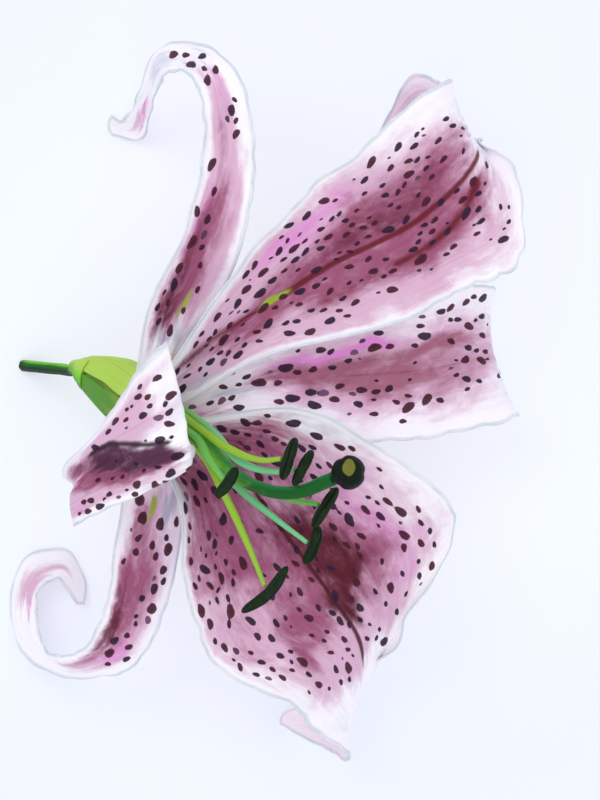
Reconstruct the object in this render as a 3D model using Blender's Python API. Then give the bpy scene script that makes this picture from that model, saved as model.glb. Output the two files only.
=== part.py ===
"""A spotted oriental lily flower, cut with a short stalk and laid on a level surface.

Six free tepals, three outer sepals and three inner petals, stand in a funnel round the top of
the stalk, then flare and roll back.  Inside them are six stamens, each a filament with a
swinging anther, and the pistil: ovary, style and stigma.  Lengths here are millimetres and
angles are degrees; lengths become metres where a mesh is made.  The surface is at z = 0.
"""
import math

import bmesh
import bpy
import numpy as np

MM = 0.001
SEAT_GAP = 0.3                                   # clearance where one organ sits on another
CENTRE_SHIFT = np.array((1.9, 0.85, 0.0))        # puts the box's bottom centre at the origin

# The flower's own axis runs from its foot on the stalk out through the middle of its mouth.
FLOWER_FOOT = np.array((-45.5, 7.0, 25.0))
FLOWER_AXIS = np.array((0.69, -0.26, 0.68))
FLOWER_AXIS /= np.linalg.norm(FLOWER_AXIS)
LOW_SIDE = np.array((0.64, -0.24, -0.73))        # the direction of angle zero round the axis
LOW_SIDE -= FLOWER_AXIS * LOW_SIDE.dot(FLOWER_AXIS)
LOW_SIDE /= np.linalg.norm(LOW_SIDE)
FAR_SIDE = np.cross(LOW_SIDE, -FLOWER_AXIS)      # the direction of angle ninety
FUNNEL_BEND = np.array((0.0, -2.5, 0.0))         # how far the funnel leaves the straight axis
BEND_LENGTH = 25.0                               # in this much of its length

# The stalk.
STALK_RADIUS = 1.5
RECEPTACLE_RADIUS = 5.1
RECEPTACLE_TOP = 2.7                             # along the axis, where the organs sit
STALK_ROUTE = ((-64.0, 9.0, 0.95), (-60.0, 8.6, 6.0), (-54.0, 8.0, 13.0), (-49.5, 7.6, 19.2))
SWELLING = ((-4.5, 2.2), (-1.5, 3.7), (1.0, 4.8), (RECEPTACLE_TOP, RECEPTACLE_RADIUS))

# The tepals.  Each claw row is: distance along the axis, distance from it, half its angle.
TEPAL_THICKNESS = 0.9
CLAW_FOOT = RECEPTACLE_TOP + SEAT_GAP
SEPAL_CLAW = ((CLAW_FOOT, 4.6, 54.0), (13.0, 7.4, 54.0), (25.0, 9.6, 46.0))
PETAL_CLAW = ((CLAW_FOOT, 3.25, 30.0), (13.0, 5.6, 38.0), (25.0, 7.5, 44.0))
ROWS_ALONG = 34
COLUMNS_ACROSS = 8
RUFFLE_START = 0.3                               # share of the length where ruffles begin
RUFFLE_END = 0.88                                # and where they fade towards the tip
RUFFLE_LAG = 1.3                                 # the right margin's waves trail the left's

# The pistil, from the receptacle out of the mouth.
OVARY_RADIUS = 2.1
OVARY_TOP = 27.0                                 # along the axis
STYLE_START = OVARY_TOP + SEAT_GAP
STYLE_RADIUS = 1.5
STIGMA_RADIUS = 4.1
STIGMA_FURROW = 0.12                             # depth of its three furrows, share of radius
STYLE_ROUTE = ((-15.5, -9.5, 54.5), (-10.0, -16.0, 61.0), (-2.0, -21.0, 67.0), (7.0, -22.0, 72.0),
               (15.0, -19.0, 76.0))
STIGMA_CENTRE = np.array((19.5, -17.2, 78.4))

# The stamens.
FILAMENT_RADIUS = 0.7
FILAMENT_FOOT_RADIUS = 0.45
FILAMENT_RING = ((CLAW_FOOT, 1.9), (8.0, 3.1), (16.0, 3.4), (28.0, 3.3))
ANTHER_RADIUS = 1.6
ANTHER_CLEARANCE = 0.25                          # more room where a filament meets a bar aslant

# Where each tepal grows, and its rows beyond the claw, base to tip.  A row is three points
# on the inner face: left margin, midrib and right margin, seen from inside, tip upward.
TEPALS = {
    "sepal_right": {
        "claw": SEPAL_CLAW, "angle": 10.0, "ruffle": (1.1, 5.0, 0.0),
        "rows": (
            ((0.0, 15.0, 41.0), (-4.0, 3.0, 38.0), (-4.0, -4.0, 40.0)),          # throat
            ((19.0, 22.0, 40.0), (17.0, 6.0, 37.0), (13.0, -10.0, 39.0)),
            ((41.0, 27.0, 37.0), (38.0, 9.0, 33.0), (34.0, -10.0, 36.0)),        # widest
            ((55.0, 29.0, 25.0), (55.6, 13.0, 21.0), (61.0, -5.0, 24.0)),        # rolls back
            ((55.5, 26.0, 11.0), (55.2, 12.0, 6.0), (59.0, -1.0, 10.0)),
            ((47.0, 15.0, 1.3), (47.0, 13.0, 0.5), (47.0, 10.0, 1.3)))},         # tip, tucked under
    "petal_upper_right": {
        "claw": PETAL_CLAW, "angle": 65.0, "ruffle": (1.5, 7.0, 0.5),
        "rows": (
            ((-12.0, 26.0, 54.0), (-6.0, 18.0, 46.0), (0.0, 11.0, 47.0)),        # throat
            ((4.0, 45.0, 57.0), (15.0, 33.0, 48.0), (29.0, 18.0, 49.0)),
            ((21.0, 60.0, 55.0), (36.0, 44.0, 47.0), (48.0, 27.0, 50.0)),
            ((40.0, 76.0, 52.0), (50.0, 56.0, 45.0), (63.0, 36.0, 48.0)),        # widest
            ((44.0, 79.5, 42.0), (52.0, 64.0, 34.0), (60.0, 58.0, 40.0)),        # slanting fold
            ((36.0, 78.5, 29.0), (42.5, 71.0, 22.0), (49.0, 66.0, 25.0)),
            ((27.0, 67.0, 18.0), (28.0, 66.0, 17.0), (29.0, 65.0, 18.0)))},      # tip, folded behind
    "sepal_upper_left": {
        "claw": SEPAL_CLAW, "angle": 125.0, "ruffle": (0.6, 6.0, 0.0),
        "rows": (
            ((-29.0, 23.0, 54.0), (-21.0, 25.0, 49.0), (-11.0, 27.0, 48.0)),     # throat
            ((-21.0, 39.0, 57.0), (-15.0, 40.0, 54.0), (-6.0, 39.0, 54.0)),
            ((-16.0, 57.0, 58.0), (-10.0, 57.0, 54.0), (-3.0, 57.0, 55.0)),
            ((-16.0, 72.0, 53.0), (-11.0, 74.0, 50.0), (-5.0, 74.0, 51.0)),
            ((-19.0, 80.0, 44.0), (-16.0, 84.0, 42.0), (-13.0, 87.0, 44.0)),     # top of the arch
            ((-26.0, 81.5, 33.0), (-27.0, 85.5, 30.0), (-27.5, 89.0, 29.0)),
            ((-29.0, 76.5, 20.0), (-31.0, 78.0, 17.0), (-33.0, 79.0, 13.0)),     # nearly on edge
            ((-33.0, 68.0, 4.0), (-35.0, 70.0, 2.0), (-38.0, 73.0, 2.2)),
            ((-41.0, 69.0, 0.7), (-42.0, 71.5, 0.8), (-41.0, 74.0, 2.0)))},      # hooked tip
    "petal_lower": {
        "claw": PETAL_CLAW, "angle": -55.0, "ruffle": (1.6, 6.0, 1.0),
        "rows": (
            ((8.0, -2.0, 51.0), (-10.0, -15.0, 44.0), (-22.0, -24.0, 54.0)),     # throat
            ((29.0, -13.0, 54.0), (2.0, -30.0, 46.0), (-20.0, -45.0, 55.0)),
            ((46.0, -28.0, 50.0), (15.0, -48.0, 43.0), (-13.0, -64.0, 52.0)),    # widest
            ((37.0, -52.0, 38.0), (24.0, -62.0, 31.0), (8.0, -78.0, 40.0)),      # slanting fold
            ((22.0, -71.0, 19.5), (21.0, -80.0, 14.5), (19.0, -91.0, 24.0)),
            ((4.0, -81.5, 0.5), (3.0, -83.0, 0.4), (3.0, -84.5, 0.4)))},         # tip, folded under
    "petal_left": {
        "claw": PETAL_CLAW, "angle": -150.0, "ruffle": (0.9, 3.0, 0.0),
        "crease": (0.48, 2.6, 2.5, 2.0),
        "rows": (
            ((-19.0, -11.0, 59.0), (-25.0, -5.0, 63.0), (-28.0, 11.0, 57.0)),    # side of the mouth
            ((-19.0, -16.0, 68.0), (-19.0, -9.0, 72.0), (-24.0, 14.0, 65.0)),    # crest
            ((-26.0, -21.0, 69.0), (-27.0, -13.0, 71.0), (-31.0, 7.0, 69.0)),
            ((-38.0, -26.0, 61.0), (-37.0, -17.0, 63.0), (-37.0, -3.0, 64.0)),
            ((-48.0, -31.0, 51.0), (-48.0, -24.0, 53.0), (-49.0, -17.0, 54.0)),  # rolls back
            ((-44.0, -28.0, 40.0), (-44.0, -25.0, 40.0), (-45.0, -22.0, 41.0)))},
    "sepal_lower_left": {
        "claw": SEPAL_CLAW, "angle": -115.0, "ruffle": (0.5, 6.0, 0.0),
        "rows": (
            ((-21.0, -19.0, 41.0), (-28.0, -21.0, 46.0), (-36.0, -25.0, 46.0)),  # throat
            ((-22.0, -37.0, 42.0), (-30.0, -37.0, 45.0), (-38.0, -37.0, 44.0)),
            ((-26.0, -53.0, 38.0), (-33.0, -51.0, 39.0), (-40.0, -50.0, 38.0)),
            ((-33.0, -66.0, 29.0), (-39.0, -63.0, 30.0), (-46.0, -62.0, 29.0)),
            ((-45.0, -71.0, 22.0), (-49.0, -68.0, 22.0), (-52.0, -65.0, 21.0)),  # turns aside
            ((-58.0, -69.0, 11.0), (-57.0, -66.0, 14.0), (-57.0, -64.0, 14.0)),
            ((-67.0, -60.0, 2.0), (-63.5, -59.0, 6.0), (-60.0, -57.5, 8.0)),     # curl on the surface
            ((-64.5, -42.5, 0.4), (-62.0, -46.0, 4.5), (-59.0, -49.0, 7.0)),
            ((-53.0, -39.0, 0.4), (-54.0, -43.0, 3.5), (-55.0, -46.0, 6.0)),
            ((-48.0, -46.5, 1.0), (-50.5, -47.0, 3.0), (-53.0, -48.5, 5.0)),
            ((-48.0, -53.0, 2.0), (-49.0, -53.0, 2.3), (-50.0, -53.0, 2.7)))},   # tip
}

# Each stamen: its place round the pistil, its filament's free route, and its anther as
# the two ends and the middle, where the filament's tip meets it.
STAMENS = (
    (125.0, ((-15.4, -7.6, 59.5), (-8.5, -12.0, 67.0), (-1.0, -14.4, 72.5)),
     ((7.0, -9.0, 76.0), (5.3, -13.8, 76.5), (3.8, -19.0, 76.0))),
    (65.0, ((-12.9, -8.0, 58.6), (-6.0, -15.0, 66.0), (2.0, -17.2, 70.6)),
     ((11.0, -12.0, 74.2), (8.6, -16.2, 74.2), (6.5, -20.5, 74.2))),
    (10.0, ((-15.0, -9.0, 51.0), (-7.0, -18.0, 57.0), (4.0, -23.5, 63.0)),
     ((17.0, -21.0, 69.5), (14.2, -25.4, 69.8), (11.5, -30.0, 69.5))),
    (-55.0, ((-15.5, -12.4, 53.0), (-7.0, -21.4, 58.0), (2.5, -29.0, 63.0)),
     ((12.0, -31.5, 66.0), (11.3, -35.5, 67.0), (9.0, -39.5, 66.5))),
    (-115.0, ((-16.8, -12.2, 56.0), (-10.5, -22.6, 61.5), (-5.0, -34.0, 64.0)),
     ((5.0, -40.0, 68.0), (0.3, -46.5, 68.5), (-6.0, -51.0, 68.0))),
    (-150.0, ((-17.6, -8.6, 58.8), (-14.0, -14.0, 67.5)),
     ((-7.0, -16.0, 78.0), (-9.3, -20.0, 78.2), (-12.0, -23.0, 78.0))),
)

# Colour, roughness and metallic value of each kind of organ.
FINISHES = {
    "tepal": ((0.62, 0.33, 0.48, 1.0), 0.5, 0.0),
    "stalk": ((0.10, 0.28, 0.06, 1.0), 0.5, 0.0),
    "ovary": ((0.35, 0.55, 0.15, 1.0), 0.4, 0.0),
    "style": ((0.03, 0.20, 0.08, 1.0), 0.3, 0.0),
    "stigma": ((0.02, 0.07, 0.03, 1.0), 0.35, 0.0),
    "filament": ((0.25, 0.48, 0.14, 1.0), 0.4, 0.0),
    "anther": ((0.02, 0.05, 0.02, 1.0), 0.6, 0.0),
}


def clear_scene():
    for old_object in list(bpy.data.objects):
        bpy.data.objects.remove(old_object, do_unlink=True)


def finish(name, kind):
    """A new Principled material for one organ."""
    colour, roughness, metallic = FINISHES[kind]
    material = bpy.data.materials.new(name)
    material.use_nodes = True
    shader = material.node_tree.nodes["Principled BSDF"]
    shader.inputs["Base Color"].default_value = colour
    shader.inputs["Roughness"].default_value = roughness
    shader.inputs["Metallic"].default_value = metallic
    material.diffuse_color = colour
    return material


def place(name, data, kind, parent):
    """Link an organ to the scene under the flower's empty."""
    organ = bpy.data.objects.new(name, data)
    organ.data.materials.append(finish(name, kind))
    organ.parent = parent
    bpy.context.scene.collection.objects.link(organ)
    return organ


def metres(points):
    return (np.asarray(points) + CENTRE_SHIFT) * MM


def outward(angle):
    """Unit direction away from the axis at an angle round it."""
    turn = math.radians(angle)
    return LOW_SIDE * math.cos(turn) + FAR_SIDE * math.sin(turn)


def round_axis(along, away, angle):
    """A point beside the funnel's axis, which bends a little on its way to the mouth."""
    bend = FUNNEL_BEND * min(max(along, 0.0) / BEND_LENGTH, 1.0) ** 2
    return FLOWER_FOOT + FLOWER_AXIS * along + bend + outward(angle) * away


def smooth_through(rows, places):
    """Catmull-Rom curve through the rows, read at fractional row numbers."""
    last = len(rows) - 1
    padded = np.concatenate(([2 * rows[0] - rows[1]], rows, [2 * rows[-1] - rows[-2]]))
    index = np.clip(np.floor(places).astype(int), 0, last - 1)
    part = (places - index).reshape(-1, *([1] * (rows.ndim - 1)))
    before, start, end, after = (padded[index + step] for step in range(4))
    return 0.5 * (2 * start + (end - before) * part
                  + (2 * before - 5 * start + 4 * end - after) * part ** 2
                  + (3 * start - before - 3 * end + after) * part ** 3)


def stop_short(start, target, target_radius):
    """The point on the way from start to a round target, one seat gap before its surface."""
    reach = np.subtract(target, start)
    distance = np.linalg.norm(reach)
    return start + reach * (1 - (target_radius + SEAT_GAP) / distance)


def tepal_sheet(tepal):
    """Grid of points over a tepal: even steps along the midrib, a parabola across each row."""
    angle = tepal["angle"]
    claw = [[round_axis(along, away, angle + half * side) for side in (1, 0, -1)]
            for along, away, half in tepal["claw"]]
    rows = np.array(claw + [list(row) for row in tepal["rows"]])
    row_numbers = np.linspace(0.0, len(rows) - 1.0, 400)
    midrib = smooth_through(rows, row_numbers)[:, 1]
    travelled = np.concatenate(([0.0], np.cumsum(np.linalg.norm(np.diff(midrib, axis=0), axis=1))))
    along = np.linspace(0.0, 1.0, ROWS_ALONG + 1)
    rows = smooth_through(rows, np.interp(along * travelled[-1], travelled, row_numbers))
    across = np.linspace(-1.0, 1.0, COLUMNS_ACROSS + 1)[None, :, None]
    left, middle, right = (rows[:, None, side] for side in range(3))
    sheet = (left * (across ** 2 - across) + right * (across ** 2 + across)) / 2
    sheet = sheet + middle * (1 - across ** 2)
    return sheet + inward_normals(sheet) * relief(tepal, along[:, None], across[..., 0])[..., None]


def inward_normals(sheet):
    normals = np.cross(np.gradient(sheet, axis=1), np.gradient(sheet, axis=0))
    return normals / np.linalg.norm(normals, axis=2, keepdims=True)


def relief(tepal, along, across):
    """Height of the ruffled margins, and of a slanting crest and valley, above the plain sheet."""
    height, waves, start = tepal["ruffle"]
    phase = 2 * np.pi * waves * along + start + np.where(across > 0, RUFFLE_LAG, 0.0)
    ease = np.clip(along / RUFFLE_START - 1, 0, 1) * np.clip((1 - along) / (1 - RUFFLE_END), 0, 1)
    total = height * np.abs(across) ** 3 * np.sin(phase) * ease
    if "crease" in tepal:
        start, slope, crest, valley = tepal["crease"]
        beside = across - slope * (along - start)
        rise = np.sin(np.pi * np.clip((along - start) / (1 - start), 0, 1))
        total = total + rise * (crest * np.exp(-(beside / 0.25) ** 2)
                                - valley * np.exp(-((beside + 0.45) / 0.3) ** 2))
    return total


def build_tepal(name, tepal, parent):
    """The sheet as a bmesh grid, given its thickness by Solidify."""
    points = metres(tepal_sheet(tepal))
    mesh = bpy.data.meshes.new(name)
    grid = bmesh.new()
    vertices = [[grid.verts.new(point) for point in row] for row in points]
    for low, high in zip(vertices, vertices[1:]):
        for column in range(len(low) - 1):
            grid.faces.new((low[column], low[column + 1], high[column + 1], high[column]))
    grid.to_mesh(mesh)
    grid.free()
    mesh.shade_smooth()
    organ = place(name, mesh, "tepal", parent)
    solidify = organ.modifiers.new("thickness", "SOLIDIFY")
    solidify.thickness = TEPAL_THICKNESS * MM
    solidify.offset = 0.0


def build_tube(name, kind, route, parent, steps=4):
    """A round stem through (point, radius) stations, closed at both ends."""
    curve = bpy.data.curves.new(name, "CURVE")
    curve.dimensions = "3D"
    curve.bevel_depth = MM
    curve.bevel_resolution = 2
    curve.use_fill_caps = True
    curve.resolution_u = steps
    spline = curve.splines.new("BEZIER")
    spline.bezier_points.add(len(route) - 1)
    spline.radius_interpolation = "EASE"
    for station, (point, radius) in zip(spline.bezier_points, route):
        station.co = metres(point)
        station.handle_left_type = "AUTO"
        station.handle_right_type = "AUTO"
        station.radius = radius
    place(name, curve, kind, parent)


def build_pedicel(parent):
    """The cut stalk and the swollen top that carries the other organs."""
    route = [(point, STALK_RADIUS) for point in STALK_ROUTE]
    route += [(round_axis(along, 0.0, 0.0), radius) for along, radius in SWELLING]
    build_tube("pedicel", "stalk", route, parent)


def build_pistil(parent):
    foot = [(round_axis(along, 0.0, 0.0), radius) for along, radius in (
        (CLAW_FOOT, 1.0), (8.0, OVARY_RADIUS), (18.0, OVARY_RADIUS), (OVARY_TOP, STYLE_RADIUS))]
    build_tube("ovary", "ovary", foot, parent)
    straight = [round_axis(along, 0.0, 0.0) for along in (STYLE_START, STYLE_START + 4.0)]
    tip = stop_short(STYLE_ROUTE[-1], STIGMA_CENTRE, STIGMA_RADIUS)
    style = straight + list(STYLE_ROUTE) + [tip]
    build_tube("style", "style", [(point, STYLE_RADIUS) for point in style], parent)
    build_stigma(parent)


def build_stigma(parent):
    """A three-lobed knob: a sphere drawn in along three furrows."""
    mesh = bpy.data.meshes.new("stigma")
    ball = bmesh.new()
    bmesh.ops.create_uvsphere(ball, u_segments=18, v_segments=10, radius=STIGMA_RADIUS * MM)
    for vertex in ball.verts:
        turn = math.atan2(vertex.co.y, vertex.co.x)
        off_pole = math.hypot(vertex.co.x, vertex.co.y) / (STIGMA_RADIUS * MM)
        vertex.co *= 1 - STIGMA_FURROW * off_pole * (1 + math.cos(3 * turn)) / 2
    ball.to_mesh(mesh)
    ball.free()
    mesh.shade_smooth()
    stigma = place("stigma", mesh, "stigma", parent)
    stigma.location = metres(STIGMA_CENTRE)


def build_stamen(number, place_round, free_route, anther, parent):
    """A filament from the receptacle to the back of its anther, and the anther."""
    start, middle, end = (np.array(point) for point in anther)
    tip = stop_short(free_route[-1], middle, ANTHER_RADIUS + ANTHER_CLEARANCE)
    route = [(round_axis(along, away, place_round), FILAMENT_RADIUS)
             for along, away in FILAMENT_RING]
    route[0] = (route[0][0], FILAMENT_FOOT_RADIUS)
    route += [(point, FILAMENT_RADIUS) for point in free_route]
    route.append((tip, FILAMENT_FOOT_RADIUS))
    build_tube(f"filament_{number}", "filament", route, parent, steps=3)
    shape = ((start, 0.45), ((start * 2 + middle) / 3, 0.95), (middle, 1.0),
             ((end * 2 + middle) / 3, 0.95), (end, 0.45))
    bar = [(point, ANTHER_RADIUS * share) for point, share in shape]
    build_tube(f"anther_{number}", "anther", bar, parent, steps=3)


def build_flower():
    clear_scene()
    flower = bpy.data.objects.new("flower", None)
    bpy.context.scene.collection.objects.link(flower)
    build_pedicel(flower)
    for name, tepal in TEPALS.items():
        build_tepal(name, tepal, flower)
    build_pistil(flower)
    for number, (place_round, free_route, anther) in enumerate(STAMENS, start=1):
        build_stamen(number, place_round, free_route, anther, flower)


build_flower()
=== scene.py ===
# A spotted lily flower, cut short and laid on a table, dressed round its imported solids.
import math

import bpy
import numpy as np
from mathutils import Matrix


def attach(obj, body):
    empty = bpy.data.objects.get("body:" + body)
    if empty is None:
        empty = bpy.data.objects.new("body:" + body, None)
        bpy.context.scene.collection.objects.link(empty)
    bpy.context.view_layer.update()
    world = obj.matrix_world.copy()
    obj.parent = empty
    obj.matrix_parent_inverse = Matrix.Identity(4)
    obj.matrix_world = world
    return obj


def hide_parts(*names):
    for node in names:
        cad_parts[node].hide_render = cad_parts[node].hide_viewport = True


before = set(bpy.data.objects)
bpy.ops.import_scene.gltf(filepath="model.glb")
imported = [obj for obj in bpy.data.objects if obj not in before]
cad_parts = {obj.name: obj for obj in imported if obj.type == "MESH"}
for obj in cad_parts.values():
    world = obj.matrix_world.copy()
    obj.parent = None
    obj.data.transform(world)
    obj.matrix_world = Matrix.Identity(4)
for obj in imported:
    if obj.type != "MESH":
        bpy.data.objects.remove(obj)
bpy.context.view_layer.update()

mm = 0.001
print("frame loaded,", len(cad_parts), "nodes")

# The same plan as the solids: everything below is in millimetres until a mesh is made.
plan = {
    "centreShift": (1.9, 0.85, 0),
    "foot": (-45.5, 7, 25),              # where the flower stands on its stalk
    "axis": (0.69, -0.26, 0.68),         # out through the middle of its mouth
    "lowSide": (0.64, -0.24, -0.73),     # angle zero round the axis
    "bend": (0, -2.5, 0),                # how far the funnel leaves the axis by its mouth
    "bendLength": 25,
    # The tepals' feet in the funnel: along the axis, away from it, half width in degrees round it.
    "sepalClaw": ((3, 4.6, 54), (13, 7.4, 54), (25, 9.6, 46)),
    "petalClaw": ((3, 3.25, 30), (13, 5.6, 38), (25, 7.5, 44)),
}


def unit(vector):
    vector = np.asarray(vector, dtype=float)
    return vector / np.linalg.norm(vector, axis=-1, keepdims=True)


axis = unit(plan["axis"])
lowSide = np.array(plan["lowSide"])
lowSide = unit(lowSide - axis * lowSide.dot(axis))
farSide = np.cross(lowSide, -axis)


# A point beside the axis: foot + axis x along + bend x (along / bend length)^2
# + (low side x cos + far side x sin) x away.
def besideAxis(along, away, angle):
    turn = math.radians(angle)
    outward = lowSide * math.cos(turn) + farSide * math.sin(turn)
    bend = np.array(plan["bend"]) * min(max(along, 0.0) / plan["bendLength"], 1.0) ** 2
    return np.array(plan["foot"]) + axis * along + bend + outward * away


def toMetres(points):
    return (np.asarray(points) + plan["centreShift"]) * mm


# Catmull-Rom: each stretch is a cubic whose slope at a row is half the step between its neighbours.
def smoothThrough(rows, places):
    last = len(rows) - 1
    padded = np.concatenate(([2 * rows[0] - rows[1]], rows, [2 * rows[-1] - rows[-2]]))
    index = np.clip(np.floor(places).astype(int), 0, last - 1)
    part = (places - index).reshape(-1, *([1] * (rows.ndim - 1)))
    before, start, end, after = (padded[index + step] for step in range(4))
    return 0.5 * (2 * start + (end - before) * part
                  + (2 * before - 5 * start + 4 * end - after) * part ** 2
                  + (3 * start - before - 3 * end + after) * part ** 3)


# 0 below low, 1 above high, and 3t^2 - 2t^3 between them.
def easeBetween(value, low, high):
    part = np.clip((value - low) / (high - low), 0.0, 1.0)
    return part * part * (3 - 2 * part)


# Sum of soft ellipses, given in percent, each strength x exp(-(r^2)^1.5), where
# r^2 = (du / length)^2 + ((dv - lean x du) / width)^2.
def patches(along, across, listed):
    total = np.zeros(np.broadcast(along, across).shape)
    for ellipse in listed:
        centreAlong, centreAcross, length, width, strength, *leaning = (part / 100 for part in ellipse)
        lean = leaning[0] if leaning else 0.0
        du = along - centreAlong
        dv = across - centreAcross - lean * du
        total = total + strength * np.exp(-((du / length) ** 2 + (dv / width) ** 2) ** 1.5)
    return np.clip(total, 0.0, 1.0)


# How far along a path of points each of them is.
def travelledBy(points):
    return np.concatenate(([0.0], np.cumsum(np.linalg.norm(np.diff(points, axis=0), axis=1))))


# Quads over a grid of vertex numbers, wound row i, column j -> j+1 -> next row.
def gridFaces(index):
    return np.stack([index[:-1, :-1], index[:-1, 1:], index[1:, 1:], index[1:, :-1]], -1).reshape(-1, 4)


def putPiece(name, points, quads, triangles=(), attributes=None, uv=None):
    triangles = np.asarray(triangles, dtype=np.int32).reshape(-1, 3)
    corners = np.concatenate([quads.ravel(), triangles.ravel()]).astype(np.int32)
    starts = np.concatenate([np.arange(len(quads)) * 4, len(quads) * 4 + np.arange(len(triangles)) * 3])
    mesh = bpy.data.meshes.new(name)
    mesh.vertices.add(len(points))
    mesh.vertices.foreach_set("co", toMetres(points).astype(np.float32).ravel())
    mesh.loops.add(len(corners))
    mesh.loops.foreach_set("vertex_index", corners)
    mesh.polygons.add(len(starts))
    mesh.polygons.foreach_set("loop_start", starts.astype(np.int32))
    mesh.update(calc_edges=True)
    mesh.validate()
    mesh.shade_smooth()
    for label, values in (attributes or {}).items():
        layer = mesh.attributes.new(label, "FLOAT", "POINT")
        layer.data.foreach_set("value", np.asarray(values, dtype=np.float32).ravel())
    if uv is not None:
        layer = mesh.uv_layers.new(name="sheet")
        layer.data.foreach_set("uv", uv[corners].astype(np.float32).ravel())
    piece = bpy.data.objects.new(name, mesh)
    bpy.context.scene.collection.objects.link(piece)
    return piece


def hand(piece, node, material):
    piece.data.materials.append(material)
    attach(piece, "root")
    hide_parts(node)


# Shader expressions: a Wire is one node output, and arithmetic on it adds Math nodes.
class Wire:
    def __init__(self, finish, socket):
        self.finish, self.socket = finish, socket

    def math(self, operation, *values):
        return self.finish.node("ShaderNodeMath", {"operation": operation}, dict(enumerate(values)))

    def __add__(self, other):
        return self.math("ADD", self, other)

    def __sub__(self, other):
        return self.math("SUBTRACT", self, other)

    def __rsub__(self, other):
        return self.math("SUBTRACT", other, self)

    def __mul__(self, other):
        return self.math("MULTIPLY", self, other)

    def __truediv__(self, other):
        return self.math("DIVIDE", self, other)

    __radd__ = __add__
    __rmul__ = __mul__


# One material: its Principled shader, and the node kinds that the finishes below share.
class Finish:
    def __init__(self, name, **fixed):
        self.material = bpy.data.materials.new(name)
        self.material.use_nodes = True
        self.tree = self.material.node_tree
        self.shader = self.tree.nodes["Principled BSDF"]
        for socket, value in fixed.items():
            self.shader.inputs[socket.replace("_", " ")].default_value = value

    def node(self, kind, settings, sockets, output=0):
        made = self.tree.nodes.new(kind)
        for label, value in settings.items():
            setattr(made, label, value)
        for label, value in sockets.items():
            self.plug(made.inputs[label], value)
        return Wire(self, made.outputs[output])

    def plug(self, socket, value):
        if isinstance(value, Wire):
            self.tree.links.new(value.socket, socket)
        else:
            socket.default_value = value

    def surface(self, label, value):
        self.plug(self.shader.inputs[label], value)

    def attribute(self, label):
        return self.node("ShaderNodeAttribute", {"attribute_name": label}, {}, "Fac")

    def place(self):
        return self.node("ShaderNodeTexCoord", {}, {}, "Object")

    def stretched(self, vector, x, y, z):
        return self.node("ShaderNodeVectorMath", {"operation": "MULTIPLY"}, {0: vector, 1: (x, y, z)})

    def noise(self, vector, scale, detail=3.0, roughness=0.55, distortion=0.0):
        sockets = {"Vector": vector, "Scale": scale, "Detail": detail, "Roughness": roughness,
                   "Distortion": distortion}
        return self.node("ShaderNodeTexNoise", {}, sockets)

    # 0 at low, 1 at high, eased between; low may be above high.
    def ease(self, value, low, high):
        settings = {"interpolation_type": "SMOOTHSTEP"}
        return self.node("ShaderNodeMapRange", settings, {"Value": value, "From Min": low, "From Max": high})

    # first where the mask is 0, second where it is 1.
    def mix(self, mask, first, second):
        return self.node("ShaderNodeMix", {"data_type": "RGBA"}, {0: mask, 6: first, 7: second}, 2)

    # second over first as the value goes from low to high, up to the share given.
    def over(self, first, second, value, low, high, share=None):
        mask = self.ease(value, low, high)
        return self.mix(mask if share is None else mask * share, first, second)

    # Bump heights are 0 to 1, and the distance is what 1 stands for, in metres.
    def dress(self, colour, roughness, height, distance, strength=0.5):
        self.surface("Base Color", colour)
        self.surface("Roughness", roughness)
        sockets = {"Height": height, "Distance": distance, "Strength": strength}
        self.surface("Normal", self.node("ShaderNodeBump", {}, sockets))


# A colour as the eye names it, 0 to 1, turned to the linear values that a shader takes.
def paint(red, green, blue):
    shown = np.array((red, green, blue))
    linear = np.where(shown <= 0.04045, shown / 12.92, ((shown + 0.055) / 1.055) ** 2.4)
    return (*[float(value) for value in linear], 1.0)


# The sheet that every tepal is built as, in millimetres unless it says otherwise.
sheetBuild = {
    "cell": 0.55, "spare": 20,    # mesh step, and columns besides
    "roughGrid": (120, 41),       # rows and columns for the first measuring
    "thickMidrib": 0.9, "thickMargin": 0.45, "thickWithin": 8,
    "ribWidth": 1.5, "channelDepth": 0.35, "keelHeight": 0.45,  # furrow inside, keel outside
    "veinStep": 3.2, "leastVeins": 3, "veinHeight": 0.07,
    "veinsFrom": (0.05, 0.3), "veinsWhereWide": (0.1, 0.6), "ribEnds": (0.02, 0.3),  # shares
    "papillaHeight": 0.2, "papillaRise": (-0.1, 0.7),  # of the raised spots, over their field
    "ruffleStart": 0.3, "ruffleEnd": 0.88, "ruffleLag": 1.3,  # shares of the length, radians
    "crestWidth": 0.25, "crestFade": 0.07, "valleyPlace": -0.45, "valleyWidth": 0.3,  # half widths
    "liveFrom": (0.28, 0.45), "liveTip": 0.1,  # shares of the length where the margin starts to move
    "lobe": 2.1, "longWave": 3.1, "flutterWave": 2.1,  # wave length / 2 pi
    "longShare": 0.7, "lobeShare": 1.5, "waveMiddle": 0.9,  # how the waves add up
    "scallopLeast": 0.08, "scallopEase": 0.15,  # everywhere, and how soon a side's own is full
    "flutter": 0.35,              # finest wave of the margins
    "rimBulge": 0.4,              # x the thickness
    "rimShowsFrom": (0.14, 0.24),  # share of the length
    "lineWindow": 17, "lineEnds": 12, "lineReach": 1.2,  # rows that smooth a line, its ends, its sides
    "floorGap": 0.05,             # no point is lower than this
}

spotBuild = {
    "margin": 2,                  # no spot's middle lies nearer the margin
    "trials": 60,                 # tries for each spot wanted
    "smallShare": 0.25, "smallSize": 0.68, "fadedShare": 0.1, "fadedSize": 0.75,
    "slant": 0.25,                # spread of the turn off the veins, in radians
    "leastWide": 0.85, "wider": 0.4,  # x its own width, and by chance up to so much more
    "twoLobes": 0.1, "threeLobes": 0.06,  # waves of the outline, shares of the oval
    "apart": 0.85, "gap": 0.35,   # share of two spots' half lengths, and millimetres besides
    "offSheet": 3,                # how much more slowly a spot ends off its own plane
}

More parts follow.
